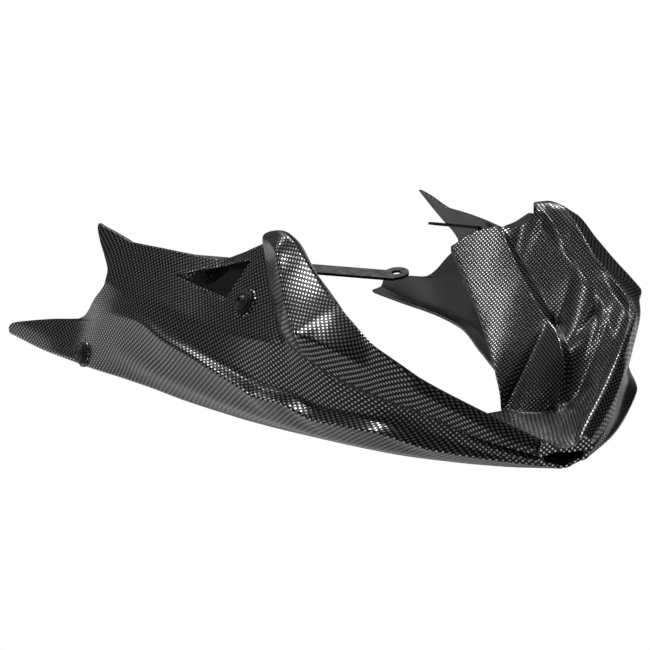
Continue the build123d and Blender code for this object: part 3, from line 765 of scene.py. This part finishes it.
def patterned_film(name, dot_colour):
    """Film with staggered pale dots over near-black; the outer tops of the ears are bare. Convex folds carry a
    painted highlight, and grooves and closed-in corners carry painted shade.
    """
    m, tree, shader = material(name)
    w = Wire(tree)
    uv = tree.nodes.new("ShaderNodeUVMap")
    uv.uv_map = "lengths"
    parts = tree.nodes.new("ShaderNodeSeparateXYZ")
    tree.links.new(uv.outputs[0], parts.inputs[0])
    along_p = w.math("MULTIPLY", parts.outputs[0], 2 * math.pi / DOT_LONG)
    across_p = w.math("MULTIPLY", parts.outputs[1], math.pi / DOT_HIGH)
    waves = w.math("ADD", w.math("COSINE", w.math("ADD", along_p, across_p)),
                   w.math("COSINE", w.math("SUBTRACT", along_p, across_p)))
    dot = w.span(waves, *DOT_WAVE, 0.0, 1.0)
    place = tree.nodes.new("ShaderNodeTexCoord")
    spot = tree.nodes.new("ShaderNodeSeparateXYZ")
    tree.links.new(place.outputs["Object"], spot.inputs[0])
    over = w.math("SUBTRACT", spot.outputs[2], w.math("MULTIPLY", spot.outputs[0], CAP_SLOPE))
    bare = w.math("MULTIPLY", w.span(over, CAP_FROM, CAP_FROM + 0.001, 0.0, 1.0),
                  w.span(w.math("ABSOLUTE", spot.outputs[1]), *BARE_Y, 0.0, 1.0))
    bare = w.math("MULTIPLY", bare, w.span(spot.outputs[0], *BARE_X, 0.0, 1.0))
    dot = w.math("MULTIPLY", dot, w.span(bare, 0, 1, 1.0, 0.0))
    ground = w.blend(bare, (0.0045, 0.0045, 0.005), (0.035, 0.036, 0.038))
    # Painted highlight: over convex folds the dots turn near white. Painted shade: in grooves and closed-in
    # corners, such as under the cover's lapped edge, the dots dim and the film goes near black
    form = tree.nodes.new("ShaderNodeNewGeometry").outputs["Pointiness"]
    painted_highlight = w.span(form, *PAINTED_HIGHLIGHT_FOLDS, 0.0, 1.0)
    painted_shade_occlusion = tree.nodes.new("ShaderNodeAmbientOcclusion")
    painted_shade_occlusion.inputs["Distance"].default_value = PAINTED_SHADE_REACH
    painted_shade_occlusion.samples = 8
    clear_of_painted_shade = w.math("MULTIPLY", w.span(form, *PAINTED_SHADE_GROOVES, 0.0, 1.0),
                    w.span(painted_shade_occlusion.outputs["AO"], *PAINTED_SHADE_OPENNESS, 0.0, 1.0))
    dot = w.math("MULTIPLY", dot, w.span(clear_of_painted_shade, 0, 1, 0.25, 1.0))
    # Painted highlight at the folds, then painted shade in the grooves and closed-in corners
    tone = w.blend(painted_highlight, dot_colour, (0.9, 0.9, 0.92))
    tone = w.blend(clear_of_painted_shade, (0.03, 0.03, 0.03), tone)
    tree.links.new(w.blend(dot, ground, tone), shader.inputs["Base Color"])
    tree.links.new(w.span(dot, 0, 1, 0.0, 0.85), shader.inputs["Metallic"])
    tree.links.new(w.span(dot, 0, 1, 0.36, 0.2), shader.inputs["Roughness"])
    tree.links.new(w.span(dot, 0, 1, 0.12, 0.5), shader.inputs["Specular IOR Level"])
    shader.inputs["Coat Weight"].default_value = 0.25
    shader.inputs["Coat Roughness"].default_value = 0.2
    return m


def plain_plastic():
    """Bare moulded plastic of the inner faces, with a fine grain."""
    m, tree, shader = material("plain_plastic", (0.012, 0.012, 0.013), 0.5, specular=0.35)
    w = Wire(tree)
    w.bump(shader, w.noise(900), 0.15, 0.0003)
    return m


def painted_steel(name, colour, roughness):
    m, tree, shader = material(name, colour, roughness, specular=0.25)
    w = Wire(tree)
    w.bump(shader, w.noise(600), 0.12, 0.0002)
    tree.links.new(w.span(w.noise(120), 0.3, 0.7, roughness - 0.05, roughness + 0.08), shader.inputs["Roughness"])
    return m


def rubber():
    m, tree, shader = material("moulded_rubber", (0.018, 0.018, 0.018), 0.75, specular=0.3)
    w = Wire(tree)
    w.bump(shader, w.noise(1500), 0.2, 0.0002)
    return m


def plated():
    m, tree, shader = material("plated_steel", (0.75, 0.75, 0.77), 0.2, metallic=1.0)
    w = Wire(tree)
    tree.links.new(w.span(w.noise(300), 0.3, 0.7, 0.15, 0.28), shader.inputs["Roughness"])
    return m


film = patterned_film("patterned_film", (0.42, 0.425, 0.44))
# A darker copy of the film with near-black dots: painted shade for the vent's recess
painted_shade_film = patterned_film("painted_shade_film", (0.022, 0.022, 0.023))
plain = plain_plastic()
side_panel("left", left_rear_fix, left_strap)
side_panel("right", right_rear_fix, right_strap)
front_cover()

finishes = {"brackets": painted_steel("painted_steel", (0.008, 0.008, 0.009), 0.55),
            "screws": painted_steel("black_oxide", (0.03, 0.03, 0.032), 0.35),
            "washers": painted_steel("black_anodised", (0.035, 0.035, 0.037), 0.4),
            "grommets": rubber(), "sleeves": plated()}
kinds = {"bracket": "brackets", "screw": "screws", "bolt": "screws", "washer": "washers", "grommet": "grommets",
         "sleeve": "sleeves"}
# The fixings and brackets are the CAD's own, with a finish and a fine bevel
for name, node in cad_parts.items():
    kind = name.rsplit("_", 1)[1]
    if kind not in kinds:
        continue
    node.data.materials.clear()
    node.data.materials.append(finishes[kinds[kind]])
    mod = node.modifiers.new("edges", "BEVEL")
    mod.width, mod.segments, mod.limit_method = 0.3 * MM, 2, "ANGLE"
    mod.angle_limit = math.radians(40)


# Camera at the photograph's viewing angle. Its focal length was solved in pixels of the photograph
SENSOR, FOCAL_PIXELS, PHOTO_PIXELS = 36, 3000, 650


def look(location, azimuth, elevation):
    data = bpy.data.cameras.new("camera")
    cam = bpy.data.objects.new("camera", data)
    scene.collection.objects.link(cam)
    az, el = math.radians(azimuth), math.radians(elevation)
    forward = Vector((-math.cos(el) * math.cos(az), math.cos(el) * math.sin(az), -math.sin(el)))
    cam.location = location
    cam.rotation_euler = forward.to_track_quat("-Z", "Y").to_euler()
    data.sensor_width = SENSOR
    data.lens = SENSOR * FOCAL_PIXELS / PHOTO_PIXELS
    data.clip_end = 50
    scene.camera = cam


look((2.27461, -1.37152, 0.66419), 30.264484, 12.725404)

# Floor and backdrop: pure white to the camera, and dimmer to everything else
floor_in_reflections, sky_light = 0.45, 0.05
mesh = bpy.data.meshes.new("floor")
bm = bmesh.new()
bmesh.ops.create_grid(bm, x_segments=2, y_segments=2, size=12)
bm.to_mesh(mesh)
floor = bpy.data.objects.new("floor", mesh)
scene.collection.objects.link(floor)
floor.location.z = -0.0005
white, tree, shader = material("studio_floor", (0.6, 0.6, 0.6), 0.9)
glow = tree.nodes.new("ShaderNodeEmission")
glow.inputs["Strength"].default_value = 1.0
mix = tree.nodes.new("ShaderNodeMixShader")
path = tree.nodes.new("ShaderNodeLightPath")
w = Wire(tree)
mirrored_share = w.math("MULTIPLY", path.outputs["Is Glossy Ray"], floor_in_reflections)
seen = w.math("ADD", path.outputs["Is Camera Ray"], mirrored_share)
tree.links.new(w.math("MINIMUM", seen, 1.0), mix.inputs[0])
tree.links.new(shader.outputs[0], mix.inputs[1])
tree.links.new(glow.outputs[0], mix.inputs[2])
tree.links.new(mix.outputs[0], tree.nodes["Material Output"].inputs["Surface"])
mesh.materials.append(white)

world = bpy.data.worlds.new("studio")
scene.world = world
world.use_nodes = True
tree = world.node_tree
sky = tree.nodes["Background"]
path = tree.nodes.new("ShaderNodeLightPath")
w = Wire(tree)
tree.links.new(w.span(path.outputs["Is Camera Ray"], 0, 1, sky_light, 1.0, False), sky.inputs[1])
sky.inputs[0].default_value = (1, 1, 1, 1)

scene.view_settings.view_transform = "Standard"


def lamp(name, place, length, width, watts):
    """A rectangular lamp that points at the middle of the pan."""
    data = bpy.data.lights.new(name, "AREA")
    data.shape = "RECTANGLE"
    data.size, data.size_y, data.energy = length, width, watts
    obj = bpy.data.objects.new(name, data)
    scene.collection.objects.link(obj)
    obj.location = place
    obj.rotation_euler = (Vector((0, 0, 0.08)) - Vector(place)).to_track_quat("-Z", "Y").to_euler()


lamp("overhead", (-1.0, 0.35, 1.7), 0.7, 0.7, 20)
lamp("front", (0.3, -0.6, 2.0), 0.4, 0.4, 10)
lamp("strip", (-1.0, -0.75, 1.3), 2.4, 0.12, 9)
lamp("side", (-0.4, -2.3, 0.9), 0.9, 0.9, 5)
